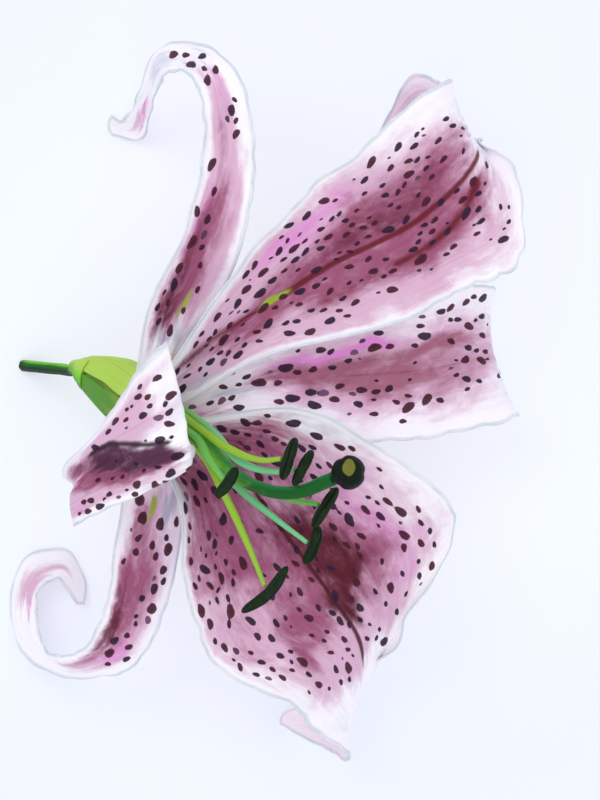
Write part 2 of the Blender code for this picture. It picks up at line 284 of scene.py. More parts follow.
# One dictionary for each tepal.  Lengths are in millimetres.  rows: left margin, midrib and right
# margin, from the funnel to the tip.  angle: round the axis.  ruffle: height, waves, start.
# scallop: on the left, on the right, where it starts.  crease: start and slope of its line.
# folds: heights of the crest on that line and of the valley beside it.  stem: greens of the foot.
# flush to shade, and the spots' density: soft ellipses in percent of the sheet, place along it and
# across it (-100 left, 100 right), half length, half width, strength and, where not 0, lean.
# lines: thickness at both ends, then strength and places in percent.  thicken: a spot's width / length.
# shade is painted shade: grey-blue washes where less light falls, in the throat, along overlaps and at folds.
tepals = {}
tepals["sepal_right"] = {
    "claw": plan["sepalClaw"], "angle": 10, "ruffle": (1.1, 5, 0), "scallop": (0.15, 0.3, 0.55),
    "stem": (paint(0.5, 0.68, 0.26), paint(0.7, 0.72, 0.34)),
    "paints": {"rose": paint(0.62, 0.375, 0.465)},
    "rows": (
        ((0, 15, 41), (-4, 3, 38), (-4, -4, 40)), ((19, 22, 40), (17, 6, 37), (13, -10, 39)),
        ((41, 27, 37), (38, 9, 33), (34, -10, 36)), ((55, 29, 25), (55.6, 13, 21), (61, -5, 24)),
        ((55.5, 26, 11), (55.2, 12, 6), (59, -1, 10)), ((47, 15, 1.3), (47, 13, 0.5), (47, 10, 1.3))),
    "flush": ((44, -10, 16, 62, 85, 80), (62, 5, 17, 66, 85), (78, 0, 13, 78, 50), (22, 35, 7, 50, 60, 300)),
    "orchid": ((44, -36, 12, 11, 75, -10), (54, -38, 5, 10, 50)),
    "rose": (
        (48, 0, 14, 28, 85, 100), (64, 12, 16, 42, 75, 60), (70, -24, 11, 12, 70), (38, -18, 9, 13, 50, 60),
        (24, 45, 6, 20, 50, 350)),
    "wine": ((45, 4, 8, 15, 30, 40), (57, -13, 8, 12, 25, -60), (71, -30, 5, 5, 25)),
    "moss": ((16, 0, 5, 30, 70),),
    "shade": ((29, -10, 6, 16, 80, 340), (36, -62, 7, 12, 50, 50), (86, 40, 5, 40, 30)),
    "lines": ((0.5, 0.25, 35, (50, 2), (62, 8), (80, 12)),),
    "spots": {"count": 84, "seed": 4, "long": (1.9, 3.8), "thicken": 0.56},
    "density": (
        (36, -35, 10, 30, 90), (48, -35, 12, 25, 70), (66, -45, 10, 30, 100), (77, -20, 5, 70, 100),
        (66, 45, 12, 35, 90), (48, 35, 12, 30, 60), (26, 20, 6, 60, 80), (72, -85, 7, 20, 70)),
}
tepals["petal_upper_right"] = {
    "claw": plan["petalClaw"], "angle": 65, "ruffle": (1.5, 7, 0.5), "scallop": (0.12, 0.6, 0.5),
    "stem": (paint(0.62, 0.76, 0.34), paint(0.74, 0.74, 0.4)),
    "rows": (
        ((-12, 26, 54), (-6, 18, 46), (0, 11, 47)), ((4, 45, 57), (15, 33, 48), (29, 18, 49)),
        ((21, 60, 55), (36, 44, 47), (48, 27, 50)), ((40, 76, 52), (50, 56, 45), (63, 36, 48)),
        ((44, 79.5, 42), (52, 64, 34), (60, 58, 40)), ((34.6, 80, 29), (41.6, 72, 22), (49, 66, 25)),
        ((27.4, 66.6, 18), (28.4, 65.6, 17), (29.4, 64.6, 18))),
    "flush": (
        (30, -45, 13, 62, 80), (48, -45, 20, 62, 95), (64, -30, 10, 36, 85), (34, 35, 18, 72, 85),
        (58, 38, 20, 58, 95), (19, 20, 8, 90, 50), (92, -50, 7, 50, 100)),
    "orchid": ((49, -62, 10, 22, 42), (41, -66, 8, 18, 32)),
    "rose": (
        (60, -25, 14, 36, 100), (44, -10, 14, 34, 80), (30, -5, 8, 35, 35), (54, 25, 18, 40, 45),
        (46, 16, 13, 20, 60), (53, 42, 15, 16, 50), (64, 24, 9, 20, 65), (24, -20, 9, 30, 40, 150),
        (29, 30, 6, 30, 50), (91, -30, 6, 10, 100)),
    "wine": ((52, -12, 15, 14, 40), (58, -28, 11, 20, 42), (62, 10, 10, 10, 25), (62, 32, 8, 6, 20, -100)),
    "moss": ((35.2, -4, 3, 8.5, 100),),
    "shade": (
        (19, 62, 3, 40, 70, 50), (21, 15, 1.5, 30, 50, 200), (76, -62, 2.5, 30, 40),
        (78, 10, 2, 30, 40, 100)),
    "lines": (
        (2.2, 1.3, 62, (12, -78), (17, -62), (21, -46), (25, -32), (29, -17), (34, -6)),
        (1.1, 1, 100, (37, -3), (43, 0), (52, 2), (60, 1), (68, -1), (75, -5)),
        (1.5, 1.8, 33, (40, 40), (47, 39), (56, 36)), (1.4, 2, 72, (53, 37), (60, 33), (66, 26), (71, 10))),
    "spots": {"count": 172, "seed": 9, "long": (1.7, 3.7), "thicken": 0.5},
    "density": (
        (26, -55, 7, 42, 100), (36, -50, 7, 35, 80), (45, -42, 8, 35, 75), (56, -58, 10, 24, 100),
        (65, -48, 7, 26, 100), (60, -18, 10, 16, 50), (25, 20, 8, 35, 90), (38, 55, 6, 30, 80),
        (51, 45, 12, 30, 60), (66, 22, 7, 24, 70), (70, 62, 4, 14, 50), (40, 15, 8, 15, 50)),
}
tepals["sepal_upper_left"] = {
    "claw": plan["sepalClaw"], "angle": 125, "ruffle": (0.6, 6, 0), "scallop": (0.15, 0.15, 0.3),
    "stem": (paint(0.66, 0.8, 0.3), paint(0.74, 0.82, 0.46)),
    "rows": (
        ((-29, 23, 54), (-21, 25, 49), (-11, 27, 48)), ((-21, 39, 57), (-15, 40, 54), (-6, 39, 54)),
        ((-16, 57, 58), (-10, 57, 54), (-3, 57, 55)), ((-16, 72, 53), (-11, 74, 50), (-5, 74, 51)),
        ((-19, 80, 44), (-16, 84, 42), (-13, 87, 44)), ((-26, 81.5, 33), (-27, 85.5, 30), (-27.5, 89, 29)),
        ((-29, 76.5, 20), (-31, 78, 17), (-33, 79, 13)), ((-33, 68, 4), (-35, 70, 2), (-38, 73, 2.2)),
        ((-41, 69, 0.7), (-42, 71.5, 0.8), (-41, 74, 2))),
    "flush": (
        (33, -15, 15, 75, 100), (48, -10, 13, 60, 85), (35, 45, 12, 40, 85), (60, -20, 10, 50, 35),
        (67, -75, 5, 30, 40), (87.5, -45, 3.5, 60, 45, 3), (92, 10, 4, 45, 60)),
    "orchid": ((36, -30, 8, 40, 60), (63, -15, 13, 60, 28), (89.5, -25, 5, 45, 60)),
    "rose": ((29, -26, 10, 52, 100), (37, 20, 9, 45, 50), (50, -10, 9, 30, 40), (40, -15, 5, 35, 50)),
    "wine": ((26, -38, 6, 30, 80), (35, -30, 5, 25, 40)),
    "moss": ((24.3, 8, 2, 16, 60),),
    "shade": (
        (77, -20, 6, 80, 70), (20, 10, 2, 90, 70, -200), (45, 80, 22, 12, 45), (68, 70, 2, 40, 60, 300),
        (86, 60, 2, 40, 50), (40, -92, 18, 10, 50)),
    "spots": {"count": 36, "seed": 2, "long": (2, 4), "thicken": 0.55},
    "density": (
        (29, -20, 11, 60, 100), (42, -20, 6, 40, 60), (55, 30, 7, 20, 90), (66, 0, 6, 60, 90),
        (13, -30, 5, 50, 90)),
}
tepals["petal_lower"] = {
    "claw": plan["petalClaw"], "angle": -55, "ruffle": (1.6, 6, 1), "scallop": (0.15, 0.2, 0.3),
    "stem": (paint(0.6, 0.74, 0.32), paint(0.74, 0.73, 0.4)),
    "paints": {"line": paint(0.29, 0.05, 0.1)},
    "rows": (
        ((8, -2, 51), (-10, -15, 44), (-22, -24, 54)), ((29, -13, 54), (2, -30, 46), (-20, -45, 55)),
        ((46, -28, 50), (15, -48, 43), (-13, -64, 52)), ((37, -52, 38), (24, -62, 31), (8, -78, 40)),
        ((22, -71, 19.5), (21, -80, 14.5), (19, -91, 24)),
        ((4, -81.5, 0.5), (3, -83, 0.4), (3, -84.5, 0.4))),
    "flush": ((36, 10, 20, 95, 100), (52, 10, 18, 88, 100), (66, 35, 8, 45, 70), (62, -50, 7, 30, 50)),
    "orchid": ((40, 35, 14, 30, 45), (56, -60, 12, 18, 30), (45, -50, 10, 20, 30)),
    "rose": (
        (29, -45, 9, 40, 70), (35, 64, 14, 40, 75), (46, 22, 15, 34, 75, 30), (50, -26, 13, 34, 95),
        (60, 34, 7, 22, 50, 300), (24, 10, 10, 80, 60), (63, 55, 3, 12, 50, 200), (57, 72, 6, 12, 35)),
    "wine": (
        (52.5, -15, 11, 19, 90, 100), (44, -6, 10, 24, 50), (59, -10, 6, 9, 50, 60), (27, -15, 6, 35, 50),
        (33, 50, 8, 20, 30)),
    "moss": ((17, 0, 5, 20, 60),),
    "shade": ((32, -90, 5, 15, 50), (76, 75, 3, 25, 40, 80), (29, 93, 4, 10, 60)),
    "lines": ((0.6, 0.85, 100, (22, 0), (40, 0), (55, -1), (62, 1), (70, 5)),),
    "spots": {"count": 200, "seed": 7, "long": (1.7, 3.8), "thicken": 0.52},
    "density": (
        (27, -65, 9, 35, 100), (34, 60, 13, 42, 100), (54, -66, 10, 16, 100), (43, -45, 10, 35, 80),
        (50, -35, 8, 20, 70), (64, -35, 5, 35, 70), (61, 35, 10, 35, 80), (68, 55, 3, 30, 90),
        (50, 80, 14, 17, 100), (47, 30, 12, 35, 75), (58, 75, 5, 20, 100, 80), (55, -5, 10, 25, 30)),
}
tepals["petal_left"] = {
    "claw": plan["petalClaw"], "angle": -150, "ruffle": (0.9, 3, 0), "scallop": (0.3, 0.1, 0.5),
    "crease": (0.518, 2.7), "folds": (2.5, 2),
    "stem": (paint(0.58, 0.74, 0.3), paint(0.74, 0.73, 0.4)),
    # wine and line are dusky here: below the crease's crest they draw the painted shadow under the
    # overhanging crest.
    "paints": {"wine": paint(0.325, 0.165, 0.27), "line": paint(0.2, 0.12, 0.17)},
    "rows": (
        ((-19, -11, 59), (-25, -5, 63), (-28, 11, 57)), ((-19, -16, 68), (-19, -9, 72), (-24, 14, 65)),
        ((-26, -21, 69), (-27, -13, 71), (-31, 7, 69)), ((-38, -26, 61), (-37, -17, 63), (-37, -3, 64)),
        ((-48, -31, 51), (-48, -24, 53), (-49, -17, 54)), ((-44, -28, 40), (-44, -25, 40), (-45, -22, 41))),
    "flush": ((66, -40, 16, 35, 65), (82, 0, 11, 90, 90), (66, 60, 12, 42, 95, 100), (61, 90, 10, 20, 70)),
    "orchid": ((84, -50, 6, 30, 30),),
    "rose": (
        (62, -12, 11, 30, 100, 60), (71, -2, 11, 38, 100, 120), (79, 25, 7, 42, 90, 150),
        (84, 70, 5, 25, 50, 100), (82, -75, 5, 15, 30, 100)),
    # The painted shadow below the crest.
    "wine": (
        (58, -8, 6, 19, 80, 80), (65, 2, 8, 28, 100, 140), (70, 22, 7, 26, 130, 200),
        (77, 45, 6, 22, 80, 240)),
    "moss": ((16, 0, 5, 30, 70),),
    "shade": (
        (59, -82, 9, 22, 50), (60, 34, 5, 10, 30, 240), (83, 88, 8, 12, 60), (52, 45, 3, 40, 40),
        (87, -20, 3, 60, 35)),
    # The crest's painted shadow line.
    "lines": ((0.9, 0.6, 80, (55, 6), (60, 19), (66, 35), (72, 51), (77, 65)),),
    "spots": {"count": 48, "seed": 5, "long": (1.6, 3.2), "thicken": 0.6},
    "density": (
        (60, -78, 10, 24, 100), (66, -10, 12, 30, 40), (55, 50, 6, 50, 100), (78, -70, 8, 35, 80),
        (64, 75, 10, 25, 70)),
}
tepals["sepal_lower_left"] = {
    "claw": plan["sepalClaw"], "angle": -115, "ruffle": (0.5, 6, 0), "scallop": (0.15, 0.15, 0.3),
    "stem": (paint(0.3, 0.56, 0.12), paint(0.66, 0.68, 0.26)),
    "rows": (
        ((-21, -19, 41), (-28, -21, 46), (-36, -25, 46)), ((-22, -37, 42), (-30, -37, 45), (-38, -37, 44)),
        ((-26, -53, 38), (-33, -51, 39), (-40, -50, 38)), ((-33, -66, 29), (-39, -63, 30), (-46, -62, 29)),
        ((-45, -71, 22), (-49, -68, 22), (-52, -65, 21)), ((-58, -69, 11), (-57, -66, 14), (-57, -64, 14)),
        ((-67, -60, 2), (-63.5, -59, 6), (-60, -57.5, 8)),
        ((-64.5, -42.5, 0.4), (-62, -46, 4.5), (-59, -49, 7)),
        ((-53, -39, 0.4), (-54, -43, 3.5), (-55, -46, 6)),
        ((-48, -46.5, 1), (-50.5, -47, 3), (-53, -48.5, 5)),
        ((-48, -53, 2), (-49, -53, 2.3), (-50, -53, 2.7))),
    "flush": (
        (36, 10, 14, 75, 100), (50, 5, 12, 75, 95), (62, 10, 6, 50, 35), (86, 35, 5, 70, 85),
        (83, -40, 3, 40, 30), (92, 10, 3, 40, 40)),
    "orchid": ((84, 70, 5, 30, 40), (54, -10, 6, 40, 50)),
    "rose": ((36, 30, 13, 50, 70), (48, 30, 10, 50, 75), (40, -30, 8, 30, 45), (60, 35, 4, 30, 40)),
    "wine": ((49, 55, 8, 24, 70, -100), (46, 35, 9, 30, 25), (36, 65, 7, 16, 25)),
    "moss": ((26.8, 0, 2.2, 13, 85),),
    "shade": ((27.5, -45, 3, 30, 90), (34, 93, 8, 10, 50), (63, 10, 2, 50, 40, -50), (75, 0, 8, 90, 25)),
    "spots": {"count": 27, "seed": 3, "long": (2.2, 4.2), "thicken": 0.62},
    "density": ((35, -55, 5, 30, 100), (33, 50, 6, 35, 100), (45, -35, 8, 25, 100), (53, -10, 3, 30, 100)),
}


# Rows at even steps along the midrib, claw first, and the midrib's length.
def spineRows(tepal, count):
    claw = [[besideAxis(along, away, tepal["angle"] + half * side) for side in (1, 0, -1)]
            for along, away, half in tepal["claw"]]
    rows = np.array(claw + [list(row) for row in tepal["rows"]])
    numbers = np.linspace(0.0, len(rows) - 1.0, 400)
    travelled = travelledBy(smoothThrough(rows, numbers)[:, 1])
    places = np.interp(np.linspace(0.0, travelled[-1], count), travelled, numbers)
    return smoothThrough(rows, places), travelled[-1]


# Across a row the sheet is the parabola through its left margin, midrib and right margin.
def spread(rows, across):
    left, middle, right = (rows[:, None, side] for side in range(3))
    v = across[..., None]
    return (left * (v * v - v) + right * (v * v + v)) / 2 + middle * (1 - v * v)


def rowWidths(sheet):
    return np.linalg.norm(np.diff(sheet, axis=1), axis=2).sum(1)


def sheetNormals(sheet):
    return unit(np.cross(np.gradient(sheet, axis=1), np.gradient(sheet, axis=0)))


# How far across the sheet a point lies from the crest of the crease.
def besideCrease(tepal, along, across):
    begin, slope = tepal["crease"]
    return across - slope * (along - begin)


# Ruffle: height x |v|^3 x sin(waves along), eased in and out.  A crease adds half a sine along it
# x (crest x exp(-(beside / crest width)^2) - valley x exp(-((beside - valley place) / its width)^2)).
def ruffled(tepal, along, across):
    build = sheetBuild
    height, waves, phase = tepal["ruffle"]
    turn = 2 * np.pi * waves * along + phase + np.where(across > 0, build["ruffleLag"], 0.0)
    easing = (np.clip(along / build["ruffleStart"] - 1, 0, 1)
              * np.clip((1 - along) / (1 - build["ruffleEnd"]), 0, 1))
    total = height * np.abs(across) ** 3 * np.sin(turn) * easing
    if "crease" in tepal:
        begin, (crest, valley) = tepal["crease"][0], tepal["folds"]
        beside = besideCrease(tepal, along, across)
        rise = np.sin(np.pi * np.clip((along - begin) / (1 - begin), 0, 1))
        total = total + rise * (
            crest * np.exp(-(beside / build["crestWidth"]) ** 2)
            - valley * np.exp(-((beside - build["valleyPlace"]) / build["valleyWidth"]) ** 2))
    return total


# The spots: seeded places drawn by density, kept apart, each an oval along the veins with a
# wobbly outline.  Field = 1 - distance / oval radius, so 0 is a spot's edge.
def scatterSpots(tepal, along, across, sheet, normals, rim):
    spots, build = tepal["spots"], spotBuild
    draw = np.random.default_rng(spots["seed"])
    density = patches(along, across, tepal["density"]) * (rim > build["margin"])
    veins = unit(np.gradient(sheet, axis=0))
    field, tone = np.full(along.shape, -1.0), np.zeros(along.shape)
    taken = []
    for trial in range(spots["count"] * build["trials"]):
        row, column = (int(draw.random() * size) for size in along.shape)
        length = draw.uniform(*spots["long"]) / 2
        length = length * (build["smallSize"] if draw.random() < build["smallShare"] else 1.0)
        slant = draw.normal(0.0, build["slant"])
        hue, chance, lobe = (draw.random() for each in range(3))
        length = length * (build["fadedSize"] if hue < build["fadedShare"] else 1.0)
        centre = sheet[row, column]
        if chance > density[row, column] or len(taken) >= spots["count"]:
            continue
        if any(np.linalg.norm(centre - other) < (length + size) * build["apart"] + build["gap"]
               for other, size in taken):
            continue
        taken.append((centre, length))
        normal, lengthwise = normals[row, column], veins[row, column]
        long = lengthwise * math.cos(slant) + np.cross(normal, lengthwise) * math.sin(slant)
        away = sheet - centre
        x = away @ long / length
        wide = length * spots["thicken"] * (build["leastWide"] + build["wider"] * lobe)
        y = away @ np.cross(normal, long) / wide
        distance = np.sqrt(x * x + y * y + (away @ normal / build["offSheet"]) ** 2)
        turn = np.arctan2(y, x)
        distance = distance * (1 + build["twoLobes"] * np.sin(2 * turn + 6 * lobe)
                               + build["threeLobes"] * np.sin(3 * turn + 9 * hue))
        nearer = 1 - distance > field
        field = np.where(nearer, 1 - distance, field)
        tone = np.where(nearer, hue, tone)
    return field, tone, len(taken)


# How far inside the nearest drawn line a point is: 1 on the line, 0 at its edge.
def lineField(lines, along, across, halfWidth):
    field = np.full(along.shape, -1.0)
    window = sheetBuild["lineWindow"]
    for thickStart, thickEnd, strength, *path in lines:
        places, offsets = np.array(path).T / 100
        part = (along - places[0]) / (places[-1] - places[0])
        bend = np.pad(np.interp(along[:, 0], places, offsets), window // 2, mode="edge")
        bend = np.convolve(bend, np.ones(window) / window, mode="valid")[:, None]
        thick = thickStart + (thickEnd - thickStart) * np.clip(part, 0, 1)
        distance = np.abs(across - bend) * halfWidth / thick
        beyond = np.maximum(-part, part - 1) * sheetBuild["lineEnds"]
        inside = sheetBuild["lineReach"] - distance - np.clip(beyond, 0, 9)
        field = np.maximum(field, inside * (strength / 100))
    return np.clip(field, -1.0, 1.0)


# Both faces, and a rounded rim that runs once round them, a share of the thickness outside.
def closedSheet(inner, outer, thick):
    rowCount, columnCount = thick.shape
    number = np.arange(thick.size).reshape(thick.shape)
    ring = np.concatenate([number[0, :-1], number[:-1, -1], number[-1, :0:-1], number[:0:-1, 0]])
    middle = (inner + outer).reshape(-1, 3) / 2
    inward = number[np.clip(ring // columnCount, 1, rowCount - 2),
                    np.clip(ring % columnCount, 1, columnCount - 2)]
    outwards = unit(middle[ring] - middle[inward])
    edge = middle[ring] + outwards * thick.ravel()[ring][:, None] * sheetBuild["rimBulge"]
    strip = np.stack([ring + thick.size, 2 * thick.size + np.arange(len(ring)), ring])
    strip = np.concatenate([strip, strip[:, :1]], axis=1)
    points = np.concatenate([inner.reshape(-1, 3), outer.reshape(-1, 3), edge])
    points[:, 2] = np.maximum(points[:, 2], sheetBuild["floorGap"])
    faces = [gridFaces(number), gridFaces(number + thick.size)[:, ::-1], gridFaces(strip)]
    return points, np.concatenate(faces), ring


# The washes, their places wobbled by sums of sines; the dark ones stop at the crest of a crease.
def washMarks(tepal, along, across):
    wobbleAlong = along + 0.012 * np.sin(11 * across + 3) + 0.006 * np.sin(31 * across)
    wobbleAcross = across + 0.05 * np.sin(40 * along + 2 * across) + 0.02 * np.sin(97 * along)
    marks = {label: patches(wobbleAlong, wobbleAcross, tepal[label]) for label in tepalLook["washes"]}
    if "crease" in tepal:
        beyond = easeBetween(besideCrease(tepal, along, across), 0.0, sheetBuild["crestFade"])
        marks["rose"], marks["wine"] = marks["rose"] * (1 - beyond), marks["wine"] * (1 - beyond)
    return marks


def makeTepal(name, tepal):
    build = sheetBuild
    roughRows, roughColumns = build["roughGrid"]
    rows, length = spineRows(tepal, roughRows)
    widest = rowWidths(spread(rows, np.linspace(-1, 1, roughColumns)[None, :])).max()
    rowCount, columnCount = int(length / build["cell"]), int(widest / build["cell"]) + build["spare"]
    rows, length = spineRows(tepal, rowCount)
    along, across = np.meshgrid(np.linspace(0.0, 1.0, rowCount), np.linspace(-1.0, 1.0, columnCount),
                                indexing="ij")
    halfWidth = rowWidths(spread(rows, across))[:, None] / 2
    live = easeBetween(along, *build["liveFrom"]) * easeBetween(1 - along, 0.0, build["liveTip"])

    # Scalloped outline: the margin moves out and in by a long wave and by round lobes |sin|,
    # by the amount for its side from the place where it starts.
    side = np.sign(across)
    wave = (build["longShare"] * np.sin(along * length / build["longWave"] + tepal["angle"] + side)
            + build["lobeShare"] * np.abs(np.sin(along * length / build["lobe"] + 2.0 * side))
            - build["waveMiddle"])
    left, right, begin = tepal["scallop"]
    frill = np.where(across < 0, left, right) * easeBetween(along, begin, begin + build["scallopEase"])
    frill = frill + build["scallopLeast"]
    sheet = spread(rows, across * (1 + frill * wave * live * across ** 4 / halfWidth))
    sheet = sheet + sheetNormals(sheet) * ruffled(tepal, along, across)[..., None]
    normals = sheetNormals(sheet)

    # Fine relief: flutter at the margin, veins side by side and flatter where the sheet narrows,
    # a furrow over the midrib.
    veinCount = max(build["leastVeins"], round(widest / build["veinStep"]))
    veins = np.cos(np.pi * veinCount * across) * (1 - across ** 6) * easeBetween(along, *build["veinsFrom"])
    veins = veins * easeBetween(2 * halfWidth / widest, *build["veinsWhereWide"])
    flutter = np.sin(along * length / build["flutterWave"] + 1.7 * side + tepal["angle"])
    flutter = build["flutter"] * flutter * np.abs(across) ** 8 * live
    sheet = sheet + normals * (build["veinHeight"] * veins + flutter)[..., None]
    rib = np.exp(-(across * halfWidth / build["ribWidth"]) ** 2) * easeBetween(1 - along, *build["ribEnds"])
    rim = np.minimum((1 - np.abs(across)) * halfWidth, (1 - along) * length)
    spot, tone, made = scatterSpots(tepal, along, across, sheet, normals, rim)
    thicker = build["thickMidrib"] - build["thickMargin"]
    thick = build["thickMargin"] + thicker * easeBetween(rim, 0.0, build["thickWithin"])
    raised = build["papillaHeight"] * easeBetween(spot, *build["papillaRise"])
    up = thick / 2 - build["channelDepth"] * rib + raised
    down = thick / 2 + build["keelHeight"] * rib
    inner, outer = sheet + normals * up[..., None], sheet - normals * down[..., None]
    points, quads, ring = closedSheet(inner, outer, thick)

    marks = washMarks(tepal, along, across)
    marks.update(spot=np.clip(spot, -1, 1), tone=tone, rim=rim,
                 line=lineField(tepal.get("lines", ()), along, across, halfWidth))
    marks = {label: np.concatenate([v.ravel(), v.ravel(), v.ravel()[ring]]) for label, v in marks.items()}
    half = 0.5 * easeBetween(along.ravel()[ring], *build["rimShowsFrom"])
    marks["face"] = np.concatenate([np.ones(thick.size), np.zeros(thick.size), half])
    flat = np.stack([along, (across + 1) / 2], -1).reshape(-1, 2)
    piece = putPiece(name + "_sheet", points, quads, attributes=marks,
                     uv=np.concatenate([flat, flat, flat[ring]]))
    hand(piece, name, tepalFinish(name, length, widest, tepal["stem"], tepal.get("paints", {})))
    print(name, "%.0f x %.0f mm," % (length, widest), made, "spots,", len(quads) * 2, "triangles")


tepalLook = {
    # Noises on the sheet: length and width of a blot in millimetres, detail, roughness, distortion.
    "streaks": (18, 2.2, 3.0, 0.6), "mottle": (7, 4.5, 3.0, 0.6, 0.7),
    "dabs": (2.6, 1.8, 2.0, 0.6, 0.5), "veins": (40, 0.9, 1.0),
    "grainScale": 900.0, "bump": 0.0002,
    # Washes: how far the mottling pushes each, and the marks where it starts and is full.
    "washes": {"flush": (0.8, 0.05, 0.9), "orchid": (0.8, 0.1, 0.85), "rose": (0.9, 0.08, 1.1),
               "wine": (0.9, 0.1, 1.15), "shade": (0.6, 0.1, 1.2), "moss": (0.5, 0.15, 0.85)},
    "paints": {
        "pale": paint(0.955, 0.94, 0.97), "flush": paint(0.835, 0.68, 0.785),
        "orchid": paint(0.87, 0.56, 0.82), "rose": paint(0.59, 0.31, 0.44),
        "wine": paint(0.34, 0.06, 0.14), "moss": paint(0.60, 0.68, 0.20),
        # shade is the grey-blue of painted shade.
        "shade": paint(0.70, 0.74, 0.80), "line": paint(0.40, 0.07, 0.13),
        "edge": paint(0.755, 0.805, 0.835), "back": paint(0.98, 0.93, 0.97),
        "spotPurple": paint(0.18, 0.05, 0.19), "spotMaroon": paint(0.31, 0.05, 0.15),
        "spotCore": paint(0.11, 0.03, 0.12), "spotFaded": paint(0.52, 0.36, 0.50)},
}


def tepalFinish(name, length, widest, stem, own):
    look, paints = tepalLook, {**tepalLook["paints"], **own}
    finish = Finish(name + "_finish", Subsurface_Weight=0.08, Subsurface_Scale=0.002,
                    Specular_IOR_Level=0.18)
    mark = {label: finish.attribute(label)
            for label in (*look["washes"], "line", "spot", "tone", "rim", "face")}
    uv = finish.node("ShaderNodeUVMap", {"uv_map": "sheet"}, {})
    u = finish.node("ShaderNodeSeparateXYZ", {}, {0: uv})
    streaks, mottle, dabs, veins = (
        finish.noise(finish.stretched(uv, length / long, widest / wide, 0.0), 1.0, *shape)
        for long, wide, *shape in (look[label] for label in ("streaks", "mottle", "dabs", "veins")))
    grain = finish.noise(finish.place(), look["grainScale"], 2.0)
    drift = (streaks - 0.5) * 0.45 + (mottle - 0.5) + (dabs - 0.5) * 0.45

    # A wash shows where its mark, pushed about by the mottling, is strong.
    def wash(label, colour):
        push, low, high = look["washes"][label]
        pushed = mark[label] + drift * push * finish.ease(mark[label], 0.0, 0.3)
        return finish.over(colour, paints[label], pushed, low, high)

    inner = wash("rose", wash("orchid", wash("flush", paints["pale"])))
    inner = finish.mix(finish.ease(veins, 0.52, 0.78) * mark["flush"] * 0.2, inner, paints["rose"])
    # Then the wine, and the painted shade over it.
    inner = wash("shade", wash("wine", inner))
    inner = finish.over(inner, paints["line"], mark["line"] + drift * 0.4, 0.05, 0.85, 0.95)
    inner = wash("moss", inner)
    inner = finish.over(inner, paints["pale"], mark["rim"] + drift * 1.6, 2.6, 0.7, 0.85)
    inner = finish.over(inner, stem[0], u + drift * 0.04, 0.11, 0.05)
    dot = finish.ease(mark["spot"] + (grain - 0.5) * 0.2 + (dabs - 0.5) * 0.35, -0.05, 0.1)
    ink = finish.over(paints["spotPurple"], paints["spotMaroon"], mark["tone"], 0.45, 0.6)
    ink = finish.over(ink, paints["spotCore"], mark["spot"] + (dabs - 0.5), 0.0, 0.9, 0.7)
    ink = finish.over(ink, paints["spotFaded"], mark["tone"], 0.1, 0.02, 0.6)
    inner = finish.mix(dot * 0.97, inner, ink)

    # The back is pale, lets a little of the flush through and turns green towards the stalk.
    outer = finish.over(paints["back"], paints["flush"], mark["flush"] + drift, 0.2, 1.2, 0.75)
    outer = finish.over(outer, paints["rose"], mark["rose"] + drift, 0.4, 1.2, 0.35)
    outer = finish.over(outer, finish.over(*stem, u + drift * 0.12, 0.07, 0.2), u + drift * 0.06, 0.27, 0.12)
    outer = finish.over(outer, paints["rose"], veins, 0.5, 0.75, 0.2)
    pale = finish.ease(mark["rim"] + drift, 3.4, 1.2) * finish.ease(u, 0.2, 0.35)
    outer = finish.mix(pale * 0.7, outer, paints["back"])

    # A thin, patchy, cooler line runs along the rim.
    edged = finish.ease(mark["rim"] + drift * 0.8, 0.95, 0.35) * finish.ease(u, 0.14, 0.24)
    patchy = finish.ease(mottle, 0.35, 0.65) * 0.4 + 0.42
    colour = finish.mix(edged * patchy, finish.mix(mark["face"], outer, inner), paints["edge"])
    finish.dress(colour, 0.55 - dot * 0.12 + (mottle - 0.5) * 0.15,
                 veins * 0.5 + dabs * 0.4 + grain * 0.3, look["bump"])
    return finish.material


for tepalName, tepalSettings in tepals.items():
    makeTepal(tepalName, tepalSettings)


# A cubic through the points: each handle lies along the bisector of its two stretches, and is its own
# stretch / handle long.  Returns places and fractional point numbers.
def handled(points, steps, handle=2.5614):
    points = np.asarray(points, dtype=float)
    chords = np.diff(points, axis=0)
    lengths = np.linalg.norm(chords, axis=1, keepdims=True)
    heading = chords / lengths
    bisector = np.concatenate([2 * heading[:1], heading[1:] + heading[:-1], 2 * heading[-1:]])
    bisector = bisector / (np.linalg.norm(bisector, axis=1, keepdims=True) * handle)
    leave, reach = points[:-1] + bisector[:-1] * lengths, points[1:] - bisector[1:] * lengths
    part = np.linspace(0, 1, steps, endpoint=False)[None, :, None]
    a, b, c, d = (corner[:, None] for corner in (points[:-1], leave, reach, points[1:]))
    curve = (a * (1 - part) ** 3 + 3 * b * part * (1 - part) ** 2 + 3 * c * part ** 2 * (1 - part)
             + d * part ** 3)
    numbers = np.arange(len(chords))[:, None] + part[0, :, 0][None, :]
    return (np.concatenate([curve.reshape(-1, 3), points[-1:]]),
            np.concatenate([numbers.ravel(), [len(chords)]]))


# Even steps of one size along such a curve, and what each given value is there (smoothstep between).
def evenly(points, step, *values):
    curve, numbers = handled(points, 40)
    travelled = travelledBy(curve)
    places = np.linspace(0.0, travelled[-1], int(travelled[-1] / step) + 2)
    centres = np.stack([np.interp(places, travelled, curve[:, side]) for side in range(3)], -1)
    at = np.interp(places, travelled, numbers)
    low = np.clip(np.floor(at).astype(int), 0, len(points) - 2)
    part = easeBetween(at - low, 0.0, 1.0)
    given = [np.asarray(value, dtype=float) for value in values]
    return (centres, places, *[value[low] + (value[low + 1] - value[low]) * part for value in given])


def roundTurn(around):
    return np.linspace(0, 2 * np.pi, around, endpoint=False)[None, :]


def onAxis(*places):
    return [besideAxis(along, 0.0, 0.0) for along in places]


